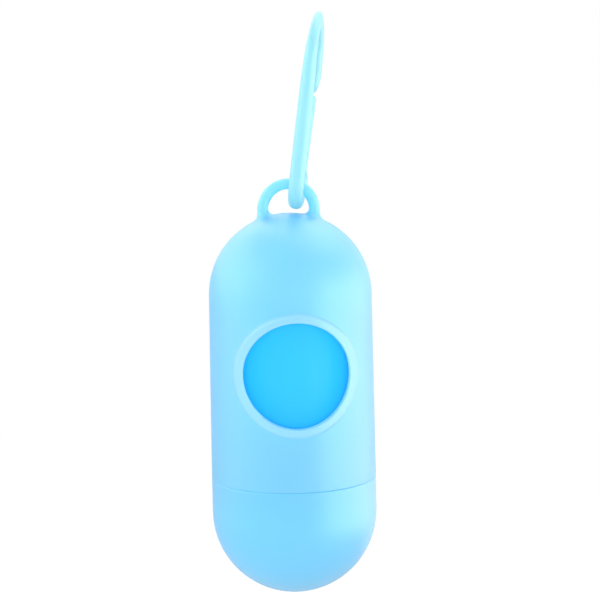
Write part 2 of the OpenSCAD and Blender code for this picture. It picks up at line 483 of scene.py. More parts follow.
def with_support(outline: Outline, reach: float = 0.25) -> Outline:
    """Adds points near both ends of each long stretch, so that its shading stays flat.

    Args:
        outline: Points of the outline.
        reach: Distance of the added points from the corners.

    Returns:
        The outline with the added points.
    """
    made: Outline = [outline[0]]
    for start, end in zip(outline, outline[1:]):
        a, b = np.array(start), np.array(end)
        length = float(np.linalg.norm(b - a))
        if length > 4 * reach:
            for share in (reach / length, 1 - reach / length):
                made.append(tuple(a + (b - a) * share))
        made.append(end)
    return made


def on_circle(radius: float, turn: float, height: float) -> Place:
    """Gives the place at a distance from the upright axis, an angle from the front, a height."""
    return radius * math.sin(turn), -radius * math.cos(turn), height


def swell(share: float) -> float:
    """Eases a share from 0 to 1."""
    share = min(1.0, max(0.0, share))
    return share * share * (3 - 2 * share)


def mix(a: float, b: float, share: float) -> float:
    """Goes from a to b by a share."""
    return a + (b - a) * share


class Skin:
    """Mesh that is being made: points in millimetres, and the faces between them."""

    def __init__(self) -> None:
        """Starts without points."""
        self.points: list[Sequence[float]] = []
        self.faces: list[tuple[int, ...]] = []

    def row(self, points: Sequence[Sequence[float]]) -> Row:
        """Adds points.

        Args:
            points: The points, in order.

        Returns:
            Their numbers.
        """
        first = len(self.points)
        self.points.extend(points)
        return list(range(first, len(self.points)))

    def bridge(self, a: Row, b: Row, closed: bool = True) -> None:
        """Joins two rows of as many points by a band of faces.

        Args:
            a: First row.
            b: Second row.
            closed: Whether the last points join the first ones.
        """
        count = len(a)
        for i in range(count if closed else count - 1):
            j = (i + 1) % count
            self.faces.append((a[i], a[j], b[j], b[i]))

    def fan(self, row: Row, tip: int) -> None:
        """Closes a round row at a tip."""
        self.faces += [(row[i - 1], row[i], tip) for i in range(len(row))]

    def rows(self, rows: list[Row], closed: bool = True) -> None:
        """Joins each row to the next one."""
        for a, b in zip(rows, rows[1:]):
            self.bridge(a, b, closed)

    def revolve(self, outline: Outline, around: int) -> None:
        """Turns an outline of (radius, height) about the upright axis.

        Args:
            outline: Its points; a radius of 0 closes the skin there.
            around: Number of points in each round row.
        """
        angles = [2 * math.pi * i / around for i in range(around)]
        last: Row = []
        for radius, height in outline:
            if radius < 1e-6:
                now = self.row([(0.0, 0.0, height)])
            else:
                now = self.row([on_circle(radius, a, height) for a in angles])
            if last and len(now) == 1:
                self.fan(last, now[0])
            elif last and len(last) == 1:
                self.fan(now, last[0])
            elif last:
                self.bridge(last, now)
            last = now

    def piece(self, name: str, at: Vector, origin: Vector | None = None) -> Piece:
        """Makes the object.

        Args:
            name: Name of the piece.
            at: Place that the points are measured from, in metres.
            origin: Place of the object's own origin, in metres.

        Returns:
            The object, in place.
        """
        origin = origin or Vector((0.0, 0.0, 0.0))
        mesh = bpy.data.meshes.new(name)
        places = np.array(self.points, float) * MM + np.array(at) - np.array(origin)
        mesh.from_pydata(places.tolist(), [], self.faces)
        work = bmesh.new()
        work.from_mesh(mesh)
        bmesh.ops.recalc_face_normals(work, faces=work.faces)
        work.to_mesh(mesh)
        work.free()
        mesh.shade_smooth()
        mesh.set_sharp_from_angle(angle=math.radians(CREASE))
        piece = bpy.data.objects.new(name, mesh)
        piece.location = origin
        bpy.context.scene.collection.objects.link(piece)
        return piece


def dress(piece: Piece, finish: bpy.types.Material) -> None:
    """Gives a piece its finish.

    Args:
        piece: The piece.
        finish: Its material.
    """
    piece.data.materials.clear()
    piece.data.materials.append(finish)


@dataclass(frozen=True)
class Thread:
    """Broken screw thread: ridges that climb round a wall in one turn."""

    pitch: float = 3.6
    height: float = 0.6
    foot: float = 1.7
    crest: float = 0.9
    span: float = 50.0
    count: int = 6
    steps: int = 14
    run_out: float = 4.0  # angle over which a ridge rises from its wall
    sunk: float = 0.1  # how deep its foot stands in the wall
    shoulder: float = 0.8  # share of its height at which the rounding of its crest starts
    flank: float = 0.85  # share of the way from its foot's width to its crest's that it has there
    rounding: float = 0.08

    def build(self, skin: Skin, wall: float, low: float, facing: Facing) -> None:
        """Adds the ridges to a skin.

        Args:
            skin: Skin that takes them.
            wall: Radius of the wall that they stand on.
            low: Height of the first ridge's middle.
            facing: Side of the wall that they stand on.
        """
        for i in range(self.count):
            rows = []
            for k in range(self.steps + 1):
                turn = self.span * (k / self.steps - 0.5)
                end = min(1.0, (self.span / 2 - abs(turn)) / self.run_out)
                rise = self.height * math.sqrt(1 - (1 - end) ** 2)
                half = [
                    (-self.sunk, self.foot / 2 + self.sunk / 2),
                    (rise * self.shoulder, mix(self.foot, self.crest, self.flank) / 2),
                    (rise, self.crest / 2 - self.rounding),
                ]
                section = [(out, -up) for out, up in half] + half[::-1]
                angle = math.radians(360 / self.count * i + turn)
                height = low + self.pitch * (i / self.count + turn / 360)
                points = []
                for out, up in section:
                    radius = wall + facing.value * out
                    points.append((radius * math.cos(angle), radius * math.sin(angle), height + up))
                rows.append(skin.row(points))
            skin.rows(rows, closed=False)


@dataclass(frozen=True)
class CapsuleWall:
    """One skin of the body's wall: a dome over a drafted wall with the round window in it."""

    low_r: float  # radius from the bottom up to low_z
    low_z: float
    dome_r: float
    dome_z: float
    window_z: float
    window_half: float = 16.9  # half height of the field that the window lies in
    field_angle: float = 56.4  # half angle of that field, seen from the axis
    side: int = 32  # stretches along each side of the field
    back: int = 70  # stretches round the back
    dome_rows: int = 24
    between: Pair = (0.3, 0.65)  # rows on the way from the window's rings to the field's edge

    def radius(self, height: float) -> float:
        """Gives the wall's radius at a height."""
        share = (height - self.low_z) / (self.dome_z - self.low_z)
        return mix(self.low_r, self.dome_r, min(1.0, max(0.0, share)))

    def turns(self) -> list[float]:
        """Spreads the upright lines round the axis.

        Returns:
            Their angles from the front, in radians: the field's first, and then the back's.
        """
        half = math.radians(self.field_angle)
        front = [-half + 2 * half * i / self.side for i in range(self.side + 1)]
        rest = 2 * math.pi - 2 * half
        return front + [half + rest * i / self.back for i in range(1, self.back)]

    def at(self, turn: float, height: float) -> Place:
        """Gives the place on the wall at an angle from the front, and a height."""
        return on_circle(self.radius(height), turn, height)

    def ring(self, rho: float, lift: float, flare: float) -> list[Place]:
        """Gives a ring round the window.

        Args:
            rho: Radius of the ring, seen from the front.
            lift: Height of the ring above the wall.
            flare: Share to which it is lifted square to the wall, rather than to the front.

        Returns:
            Its points, in the order of the field's edge.
        """
        made = []
        for k in range(4 * self.side):
            angle = math.radians(-45 + 90 * k / self.side)
            x, z = rho * math.cos(angle), self.window_z + rho * math.sin(angle)
            radius = self.radius(z)
            x *= 1 + flare * lift / radius
            made.append((x, -math.sqrt((radius + lift) ** 2 - x * x), z))
        return made

    def build(self, skin: Skin, rings: list[Ring], below: Outline) -> tuple[Row, Row]:
        """Adds this side of the wall to a skin.

        Args:
            skin: Skin that takes it.
            rings: Rings round the window, from the hole outward.
            below: Rows under the field, as (radius, height), downward.

        Returns:
            Numbers of the hole's ring, and of the lowest row.
        """
        turns = self.turns()
        heights = [
            self.window_z + self.window_half * (2 * i / self.side - 1) for i in range(self.side + 1)
        ]
        # Upright lines by height; inside the field only its two edges are drawn
        grid: dict[tuple[int, int], int] = {}
        for j, height in enumerate(heights):
            inner = 0 < j < self.side
            for i, turn in enumerate(turns):
                if not (inner and 0 < i < self.side):
                    grid[i, j] = skin.row([self.at(turn, height)])[0]
        count = len(turns)
        for j in range(self.side):
            for i in range(self.side, count):
                nxt = (i + 1) % count
                skin.faces.append((grid[i, j], grid[nxt, j], grid[nxt, j + 1], grid[i, j + 1]))
        # The field's edge, in the order of the window's rings
        top = self.side
        edge = [grid[top, j] for j in range(top)]
        edge += [grid[top - i, top] for i in range(top)]
        edge += [grid[0, top - j] for j in range(top)]
        edge += [grid[i, 0] for i in range(top)]
        edge_at = [skin.points[k] for k in edge]
        made = [skin.row(self.ring(*ring)) for ring in rings]
        outer = self.ring(*rings[-1])
        for share in self.between:
            points = []
            for ends in zip(outer, edge_at):
                first, last = (math.atan2(x, -y) for x, y, _ in ends)
                height = mix(ends[0][2], ends[1][2], share)
                points.append(self.at(mix(first, last, share), height))
            made.append(skin.row(points))
        skin.rows([*made, edge])
        # Dome
        rows = [[grid[i, top] for i in range(count)]]
        for k in range(1, self.dome_rows):
            lean = math.pi / 2 * k / self.dome_rows
            radius, height = self.dome_r * math.cos(lean), self.dome_r * math.sin(lean)
            rows.append(skin.row([on_circle(radius, t, self.dome_z + height) for t in turns]))
        skin.rows(rows)
        skin.fan(rows[-1], skin.row([(0.0, 0.0, self.dome_z + self.dome_r)])[0])
        # Wall under the field
        rows = [[grid[i, 0] for i in range(count)]]
        for radius, height in below:
            rows.append(skin.row([on_circle(radius, t, height) for t in turns]))
        skin.rows(rows)
        return made[0], rows[-1]


@dataclass(frozen=True)
class Eyelet:
    """Round eyelet on the dome, with its feet run smoothly into the dome."""

    radius: float = 6.2  # middle of the bar
    bar: float = 1.3  # radius of the bar
    fillet: float = 1.9
    clear_angle: float = 10.0  # above this angle the bar is plain
    bend_angle: float = -12.0  # where the bend from the bar to the dome is pulled towards
    sunk: float = 0.03  # how deep the foot's last row lies in the dome
    around: int = 36
    along: int = 48
    foot_rows: int = 10

    def point(self, angle: float, around: float) -> np.ndarray:
        """Gives a place on the plain bar."""
        out = np.array([math.cos(angle), 0.0, math.sin(angle)])
        return out * (self.radius + self.bar * math.cos(around)) + np.array(
            [0.0, self.bar * math.sin(around), 0.0]
        )

    def distance(self, p: np.ndarray, dome_mid: np.ndarray, dome_r: float) -> float:
        """Gives the distance from the surface of the bar and dome, run into each other.

        Args:
            p: Place.
            dome_mid: Centre of the dome.
            dome_r: Radius of the dome.

        Returns:
            Distance, which is 0 on the surface.
        """
        bar = math.hypot(math.hypot(p[0], p[2]) - self.radius, p[1]) - self.bar
        dome = float(np.linalg.norm(p - dome_mid)) - dome_r
        near = max(self.fillet - abs(bar - dome), 0.0) / self.fillet
        return min(bar, dome) - near * near * self.fillet / 4

    def settle(self, p: np.ndarray, dome_mid: np.ndarray, dome_r: float) -> np.ndarray:
        """Moves a place onto that surface, along the steepest way.

        Args:
            p: Place near the surface.
            dome_mid: Centre of the dome.
            dome_r: Radius of the dome.

        Returns:
            Place on the surface.
        """
        step, tries = 1e-4, 25
        for _ in range(tries):
            now = self.distance(p, dome_mid, dome_r)
            slope = np.array(
                [
                    (self.distance(p + step * axis, dome_mid, dome_r) - now) / step
                    for axis in np.eye(3)
                ]
            )
            p = p - now * slope / max(float(slope @ slope), 1e-6)
        return p

    def build(self, skin: Skin, dome_mid: np.ndarray, dome_r: float) -> None:
        """Adds the eyelet to a skin.

        Args:
            skin: Skin that takes it.
            dome_mid: Centre of the dome, from the eyelet's middle.
            dome_r: Radius of the dome.
        """
        turns = [2 * math.pi * k / self.around for k in range(self.around)]
        start = math.radians(self.clear_angle)
        # Where the bar's middle line meets the dome, and the dome's own directions there
        sine = (dome_r**2 - self.radius**2 - dome_mid[2] ** 2) / (-2 * dome_mid[2] * self.radius)
        foot = self.radius * np.array([math.sqrt(1 - sine**2), 0.0, sine])
        up = (foot - dome_mid) / np.linalg.norm(foot - dome_mid)
        out = np.array([up[2], 0.0, -up[0]])
        rows = []
        for row in range(self.foot_rows, 0, -1):
            share = row / self.foot_rows
            points = []
            for turn in turns:
                high = self.point(start, turn)
                reach = self.bar + self.fillet
                low = foot + out * reach * math.cos(turn)
                low = low + np.array([0.0, reach * math.sin(turn), 0.0])
                bend = self.point(math.radians(self.bend_angle), turn)
                # A bend from the bar, by its foot, out onto the dome
                p = (1 - share) ** 2 * high + 2 * share * (1 - share) * bend + share**2 * low
                p = self.settle(p, dome_mid, dome_r)
                if row == self.foot_rows:
                    p = dome_mid + (p - dome_mid) * (1 - self.sunk / dome_r)
                points.append(p)
            rows.append(points)
        rows += [
            [self.point(mix(start, math.pi - start, k / self.along), turn) for turn in turns]
            for k in range(self.along + 1)
        ]
        mirror = np.array([-1.0, 1.0, 1.0])
        rows += [[p * mirror for p in rows[k]] for k in range(self.foot_rows - 1, -1, -1)]
        skin.rows([skin.row(points) for points in rows])


@dataclass(frozen=True)
class CapsuleSizes:
    """Sizes that the capsule's pieces share; heights are from the middle of the eyelet."""

    radius: float = 20.0
    dome_r: float = 19.6
    wall: float = 1.3
    dome_z: float = -20.4
    window_z: float = -37.3
    seam_z: float = -64.8
    cap_rim_z: float = -64.9
    cap_dome_z: float = -73.4
    collar_top_z: float = -57.45
    eyelet_top: float = 7.5

    def place(self) -> Vector:
        """Gives the middle of the eyelet in the row's frame, in metres, from the CAD body."""
        low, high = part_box("body")
        return Vector(
            ((low.x + high.x) / 2, high.y - self.radius * MM, high.z - self.eyelet_top * MM)
        )


@dataclass(frozen=True)
class Body:
    """Upper moulding: dome, wall with the rimmed window, eyelet and inside thread."""

    sizes: CapsuleSizes
    finish: MouldedPolypropylene
    window_r: float = 12.5
    rim_w: float = 2.0
    rim_h: float = 0.9
    rim_foot: float = 0.35
    rim_lip: float = 0.35  # rounding at the hole
    rim_brow: float = 0.7  # rounding on the outside
    edge: float = 0.1  # rounding at the seam
    hole_depth: float = 0.35  # how far the window's edge goes in past the wall's outside
    hole_land: float = 0.8  # width of the first band round the window on the inside
    # Heights of the rows of points below the window's field, on the outside and the inside
    outer_rows: tuple[float, ...] = (-55.6, -57.6, -59.8, -62.0, -63.6, -64.4, -64.6)
    inner_rows: tuple[float, ...] = (-55.2, -56.45, -57.2, -60.0, -62.6, -64.2, -64.6)
    mouth: float = 0.2  # how far the inside opens out at the seam
    straight: float = 1.0  # how far above the cap's collar the bore has no draft
    thread_z: float = -63.3
    thread: Thread = field(default_factory=Thread)
    eyelet: Eyelet = field(default_factory=Eyelet)

    def rim(self) -> list[Ring]:
        """Draws the section of the window's rim.

        Returns:
            Its rings, from the hole outward.
        """
        r, w, h = self.window_r, self.rim_w, self.rim_h
        lip, brow = self.rim_lip, self.rim_brow
        inner = arc((r + lip, h - lip), lip, 180, 92, 6)
        outer = arc((r + w - brow, h - brow), brow, 88, 8, 7)
        foot = arc((r + w + self.rim_foot, self.rim_foot), self.rim_foot, 190, 265, 4)
        end = (r + w + 2 * self.rim_foot, 0.0)
        section = [(r, -self.hole_depth), *inner, *outer, *foot, end]
        # The hole is bored straight from the front, and the rim's outside leans off the wall
        return [(x, y, min(1.0, max(0.0, (x - r) / w))) for x, y in section]

    def build(self) -> Piece:
        """Builds the body's skin.

        Returns:
            The body.
        """
        s = self.sizes
        skin = Skin()
        bore = s.radius - s.wall
        outside = CapsuleWall(s.radius, s.seam_z, s.dome_r, s.dome_z, s.window_z)
        inside = CapsuleWall(
            bore, s.collar_top_z + self.straight, s.dome_r - s.wall, s.dome_z, s.window_z
        )
        corner = (s.radius - self.edge, s.seam_z + self.edge)
        below = [(outside.radius(z), z) for z in self.outer_rows]
        below += arc(corner, self.edge, 0, -90, 4)
        hole, low = outside.build(skin, self.rim(), below)
        inner_rings = [(self.window_r + land, 0.0, 0.0) for land in (0.0, self.hole_land)]
        rows = [(inside.radius(z), z) for z in self.inner_rows]
        mouth = (bore + self.mouth, s.seam_z)
        inner_hole, inner_low = inside.build(skin, inner_rings, [*rows, mouth])
        skin.bridge(hole, inner_hole)
        skin.bridge(low, inner_low)
        self.thread.build(skin, bore, self.thread_z, Facing.INWARD)
        self.eyelet.build(skin, np.array([0.0, 0.0, s.dome_z]), s.dome_r)
        piece = skin.piece("capsule_body", s.place())
        dress(piece, self.finish.build())
        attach(piece, "dispenser")
        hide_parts("body")
        return piece


@dataclass(frozen=True)
class ScrewCap:
    """Lower moulding: bottom dome, short wall and the threaded collar that goes up inside."""

    sizes: CapsuleSizes
    finish: MouldedPolypropylene
    wall: float = 1.6
    collar_r: float = 17.95
    collar_wall: float = 1.15
    shoulder_z: float = -67.65
    thread_z: float = -61.95
    brow: float = 0.45  # rounding of its upper edge
    edge: float = 0.25  # rounding at the collar's foot and top
    rise: float = 0.12  # screwed home, the rim closes the clearance of 0.1 mm at the seam
    around: int = 128
    thread: Thread = field(default_factory=Thread)

    def outline(self) -> Outline:
        """Draws the cap's section.

        Returns:
            Its points as (radius, height), from the bottom of the outside to that of the inside.
        """
        s, inside = self.sizes, self.sizes.radius - self.wall
        bore = self.collar_r - self.collar_wall
        edge = self.edge
        made = arc((0, s.cap_dome_z), s.radius, -90, 0, 30)
        made[0] = (0.0, made[0][1])
        rim_z = s.cap_rim_z + self.rise
        made += arc((s.radius - self.brow, rim_z - self.brow), self.brow, 0, 90, 6)
        made += arc((self.collar_r + edge, rim_z + edge), edge, 270, 180, 3)
        made += arc((self.collar_r - edge, s.collar_top_z - edge), edge, 0, 90, 3)
        made += arc((bore + edge, s.collar_top_z - edge), edge, 90, 180, 3)
        made += [(bore, self.shoulder_z + inside - bore), (inside, self.shoulder_z)]
        dome = arc((0, s.cap_dome_z), inside, 0, -90, 20)
        dome[-1] = (0.0, dome[-1][1])
        return with_support(made) + dome

    def build(self) -> Piece:
        """Builds the cap's skin.

        Returns:
            The cap.
        """
        skin = Skin()
        skin.revolve(self.outline(), self.around)
        self.thread.build(skin, self.collar_r, self.thread_z, Facing.OUTWARD)
        piece = skin.piece("screw_cap", self.sizes.place())
        dress(piece, self.finish.build())
        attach(piece, "cap")
        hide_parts("cap")
        return piece


@dataclass(frozen=True)
class BagRoll:
    """Joined bags wound on their core: a spiral of film with a free edge and uneven ends."""

    sizes: CapsuleSizes
    finish: BlownFilm
    low_z: float = -82.786  # 0.3 mm above where its edge would meet the cap's inner dome
    length: float = 62.0
    radius: float = 16.0
    core_r: float = 6.55
    step: float = 0.14  # the free edge is two films thick, drawn thicker so that it shows
    edge_turn: float = 64.0  # the free edge's angle from the front
    ripple: float = 0.06
    tuck: float = 0.45  # how far the film draws in at the roll's ends
    tuck_reach: float = 0.9  # length over which it does
    end_wave: float = 0.1  # unevenness of the wound edges at the ends
    end_beat: float = 9.3  # phase of that unevenness from one point to the next, in radians
    end_steps: int = 18
    rows: int = 72
    around: int = 180

    def wound_r(self, turn: float, height: float) -> float:
        """Finds how far out the film lies.

        Args:
            turn: Angle past the free edge, in radians.
            height: Height of the place.

        Returns:
            Radius of the roll there.
        """
        spiral = self.radius - self.step * turn / (2 * math.pi)
        # The film's slack: two slow waves that cross, and a fine one, so that nothing repeats
        slack = math.sin(7 * turn + 0.045 * height) * math.sin(0.21 * height + 3 * turn)
        slack += 0.5 * math.sin(19 * turn - 0.11 * height)
        return spiral - self.ripple * (0.75 + 0.5 * slack)

    def outline(self) -> Outline:
        """Draws the roll's section.

        Returns:
            Its points as (share of the way from core to outside, height), from the lower end up.
        """
        # The ends lie so far in that their waves stay inside the roll's length
        steps, reach, sunk = self.end_steps, self.tuck_reach, 1.5 * self.end_wave
        low, high = self.low_z, self.low_z + self.length
        # The outermost two points are level, so that the roll keeps a clean outer edge
        phases = [self.end_beat * k for k in range(steps + 1)]
        waves = [self.end_wave * math.sin(p) * (k < steps - 1) for k, p in enumerate(phases)]
        ends = [(k / steps, sunk + wave) for k, wave in enumerate(waves)]
        rise = [(share, low + z) for share, z in ends]
        fall = [(share, high - z) for share, z in reversed(ends)]
        low_edge = [(1.0, low + z) for z in (reach / 2, reach)]
        shares = [k / self.rows for k in range(1, self.rows)]
        wall = [(1.0, low + mix(reach, self.length - reach, share)) for share in shares]
        high_edge = [(1.0, high - z) for z in (reach, reach / 2)]
        return rise + low_edge + wall + high_edge + fall

    def build(self) -> Piece:
        """Builds the roll's skin.

        Returns:
            The roll of bags.
        """
        skin = Skin()
        outline = self.outline()
        first = math.radians(self.edge_turn)
        rows = []
        for i in range(self.around + 1):
            turn = 2 * math.pi * i / self.around
            angle = first + turn
            points = []
            for share, height in outline:
                near_end = min(height - self.low_z, self.low_z + self.length - height)
                tuck = self.tuck * max(0.0, 1 - near_end / self.tuck_reach) ** 2 * share
                outer = self.wound_r(turn, height) - tuck
                radius = mix(self.core_r, outer, share)
                points.append(on_circle(radius, angle, height))
            rows.append(skin.row(points))
        skin.rows(rows, closed=False)
        skin.bridge(rows[-1], rows[0], closed=False)
        at = self.sizes.place()
        middle = Vector((at.x, at.y, at.z + (self.low_z + self.length / 2) * MM))
        piece = skin.piece("wound_bags", at, middle)
        dress(piece, self.finish.build())
        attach(piece, "bags")
        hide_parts("bag_roll")
        return piece


@dataclass(frozen=True)
class RollCore:
    """Board tube in the roll: the CAD solid is its true shape, so it only gets its finish."""

    finish: WoundCard = field(default_factory=WoundCard)

    def build(self) -> Piece:
        """Dresses the core.

        Returns:
            The core.
        """
        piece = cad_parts["roll_core"]
        dress(piece, self.finish.build())
        return piece


class Limb(Enum):
    """Straight limb of the hook: the sign of the side that it stands on."""

    SPINE = -1
    GATE = 1


@dataclass(frozen=True)
class SnapHook:
    """Snap hook in one moulding: a bent bar whose thin end flexes as its gate."""

    finish: MouldedPolypropylene
    length: float = 47.2
    depth: float = 24.0
    bar_depth: float = 3.9
    bar_thick: float = 3.55
    bar_thick_top: float = 2.1
    thin_power: int = 4  # the higher it is, the further up the bar thins
    bend_r: float = 4.0
    gate_top: float = 25.4
    gate_root: float = 8.5
    gate_thick: float = 2.35
    gate_depth_root: float = 2.0
    gate_depth_tip: float = 3.0
    gate_end: float = 1.0
    nose_gap: float = 0.4
    nose_taper: float = 5.0
    root_gap: float = 0.05
    lean: float = 8.1
    twist: float = 8.9
    power: float = 2.2  # squareness of the bar's section: 2 is an ellipse
    around: int = 40
    side_steps: int = 16
    bottom_steps: int = 60
    top_steps: int = 64
    nose_steps: int = 36
    root_steps: int = 10
    gate_steps: int = 40
    tip_steps: int = 10
    seam: float = 0.02  # the gate's first band, where it meets the bar
    seam_share: int = 15  # the bar's first band is this much narrower than a step of its bend
    bend_low: float = -2.5  # ends of the stretch where the real gate flexes, from its root's height: build works them out but doesn't use them
    bend_high: float = 3.0

    @property
    def bottom_r(self) -> float:
        """Radius of the bar's middle line in the bottom bend."""
        return self.bend_r + self.bar_depth / 2

    @property
    def top_r(self) -> float:
        """Radius of the bar's middle line in the top bend."""
        return (self.depth - self.bar_depth) / 2

    @property
    def top_z(self) -> float:
        """Height of the top bend's centre."""
        return self.length - self.bar_depth - self.top_r

    @property
    def side_lean(self) -> float:
        """Angle between the two sides and the hook's length, in radians."""
        return math.asin((self.top_r - self.bottom_r) / (self.top_z - self.bottom_r))

    @property
    def low_z(self) -> float:
        """Height at which the bottom bend meets the sides."""
        return self.bottom_r * (1 - math.sin(self.side_lean))

    @property
    def high_z(self) -> float:
        """Height at which the sides meet the top bend."""
        return self.top_z - self.top_r * math.sin(self.side_lean)

    @property
    def gate_foot(self) -> float:
        """Height at which the bar has thinned to the gate."""
        return self.gate_root - (self.gate_end + self.root_gap) * math.cos(self.side_lean)

    def place(self) -> tuple[Matrix, Vector]:
        """Finds how the hook hangs from the frame's origin, which its top bend rests on.

        Returns:
            Turn of the hook's plane, and the middle of its bottom bar, in metres.
        """
        # From the inside of the top bend to the middle of the bottom bar
        hang = self.length - 1.5 * self.bar_depth
        lean = math.radians(self.lean)
        at = Vector((-math.sin(lean), 0.0, -math.cos(lean))) * hang * MM
        turn = Matrix.Rotation(lean, 3, "Y") @ Matrix.Rotation(-math.radians(self.twist), 3, "Z")
        return turn, at

    def side(self, limb: Limb, height: float) -> Pair:
        """Finds a point on the middle line of a limb.

        Args:
            limb: The limb.
            height: Height of the point.

        Returns:
            The point, in the hook's plane.
        """
        slope = math.tan(self.side_lean)
        foot = self.bottom_r / math.cos(self.side_lean)
        return limb.value * (foot + (height - self.bottom_r) * slope), height

    def bar(self, height: float) -> Pair:
        """Gives half the bar's depth and half its thickness at a height."""
        share = min(1.0, max(0.0, height / (self.length - self.bar_depth))) ** self.thin_power
        return self.bar_depth / 2, mix(self.bar_thick, self.bar_thick_top, share) / 2

    def sweep(self, skin: Skin, line: Outline, sections: Outline, tip: Pair) -> None:
        """Sweeps the bar's section along a line in the hook's plane, and closes it at a tip.

        Args:
            skin: Skin that takes the bar.
            line: Middle line.
            sections: Half depth and half thickness at each of its points.
            tip: Point on the line at which the bar ends.
        """
        outline = []
        for k in range(self.around):
            turn = 2 * math.pi * k / self.around
            ways = (math.cos(turn), math.sin(turn))
            outline.append([math.copysign(abs(way) ** (2 / self.power), way) for way in ways])
        path = np.array(line)
        rows = []
        for i, (half_depth, half_thick) in enumerate(sections):
            ahead = path[min(i + 1, len(path) - 1)] - path[max(i - 1, 0)]
            out = np.array([ahead[1], -ahead[0]]) / np.linalg.norm(ahead)
            points = []
            for a, b in outline:
                y, z = path[i] + out * a * half_depth
                points.append((b * half_thick, y, z))
            rows.append(skin.row(points))
        skin.rows(rows)
        skin.fan(rows[-1], skin.row([(0.0, *tip)])[0])

    def frame_skin(self) -> Skin:
        """Builds the bar from the gate's side round to the nose.

        Returns:
            The skin, in the hook's own plane.
        """
        lean = math.degrees(self.side_lean)
        bend = ((0, self.bottom_r), self.bottom_r, -lean, lean - 180)
        bottom = arc(*bend, self.bottom_steps)
        # The first ring is close to the next, so that the gate's skin meets it without a crease
        bottom.insert(1, arc(*bend, self.seam_share * self.bottom_steps)[1])
        shares = [k / self.side_steps for k in range(1, self.side_steps)]
        spine = [self.side(Limb.SPINE, mix(self.low_z, self.high_z, share)) for share in shares]
        top = arc((0, self.top_z), self.top_r, 180 + lean, -lean, self.top_steps)
        tip_z = self.gate_top + self.nose_gap
        ends = [math.sin(math.pi / 2 * k / self.nose_steps) for k in range(1, self.nose_steps)]
        nose = [self.side(Limb.GATE, mix(self.high_z, tip_z, end)) for end in ends]
        sections = [self.bar(z) for _, z in bottom + spine + top]
        for _, z in nose:
            share = min(1.0, (z - tip_z) / self.nose_taper)
            scale = math.sqrt(max(0.0, 1 - (1 - share) ** 2))
            sections.append(tuple(half * scale for half in self.bar(z)))
        skin = Skin()
        self.sweep(skin, bottom + spine + top + nose, sections, self.side(Limb.GATE, tip_z))
        return skin

    def gate_skin(self) -> Skin:
        """Builds the gate, from where the bar thins to its rounded free end.

        Returns:
            The skin, in the hook's own plane.
        """
        heights = [self.low_z, self.low_z + self.seam]
        for low, high, steps in (
            (self.low_z, self.gate_foot, self.root_steps),
            (self.gate_foot, self.gate_top - self.gate_end, self.gate_steps),
        ):
            heights += [mix(low, high, k / steps) for k in range(1, steps + 1)]
        ends = [math.sin(math.pi / 2 * k / self.tip_steps) for k in range(1, self.tip_steps)]
        heights += [self.gate_top - self.gate_end * (1 - end) for end in ends]
        sections = []
        for z in heights:
            thin = swell((z - self.low_z) / (self.gate_foot - self.low_z))
            wide = swell((z - self.gate_root) / (self.gate_top - self.gate_root))
            depth = mix(self.bar_depth, mix(self.gate_depth_root, self.gate_depth_tip, wide), thin)
            thick = mix(self.bar_thick, self.gate_thick, thin)
            share = min(1.0, (self.gate_top - z) / self.gate_end)
            scale = math.sqrt(1 - (1 - share) ** 2)
            sections.append((depth / 2 * scale, thick / 2 * scale))
        skin = Skin()
        *line, tip = [self.side(Limb.GATE, z) for z in (*heights, self.gate_top)]
        self.sweep(skin, line, sections, tip)
        return skin

    def build(self) -> list[Piece]:
        """Builds the hook and its gate.

        Returns:
            The hook's frame and its gate.
        """
        turn, at = self.place()
        finish = self.finish.build()
        made = []
        for name, skin in (("hook_frame", self.frame_skin()), ("hook_gate", self.gate_skin())):
            skin.points = [tuple(turn @ Vector(p)) for p in skin.points]
            piece = skin.piece(name, at)
            dress(piece, finish)
            made.append(piece)
        frame_piece, gate = made
        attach(frame_piece, "hook")
        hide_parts("carabiner_frame")
        ends = [
            at + turn @ Vector((0.0, *self.side(Limb.GATE, z))) * MM
            for z in (self.gate_root + self.bend_low, self.gate_root + self.bend_high)
        ]
        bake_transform(gate)
        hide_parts("carabiner_gate")
        return made


def white_for_eyes(tree: Tree) -> Output:
    """Finds the rays that see the surroundings rather than take light from them.

    Args:
        tree: Node tree that uses it.

    Returns:
        Output that is 1 for those rays.
    """
    path = add_node(tree, "LightPath").outputs
    seen = path["Is Camera Ray"]
    for ray in ("Is Glossy Ray", "Is Transmission Ray"):
        either = {"operation": "MAXIMUM", 0: seen, 1: path[ray]}
        seen = add_node(tree, "Math", either).outputs[0]
    return seen


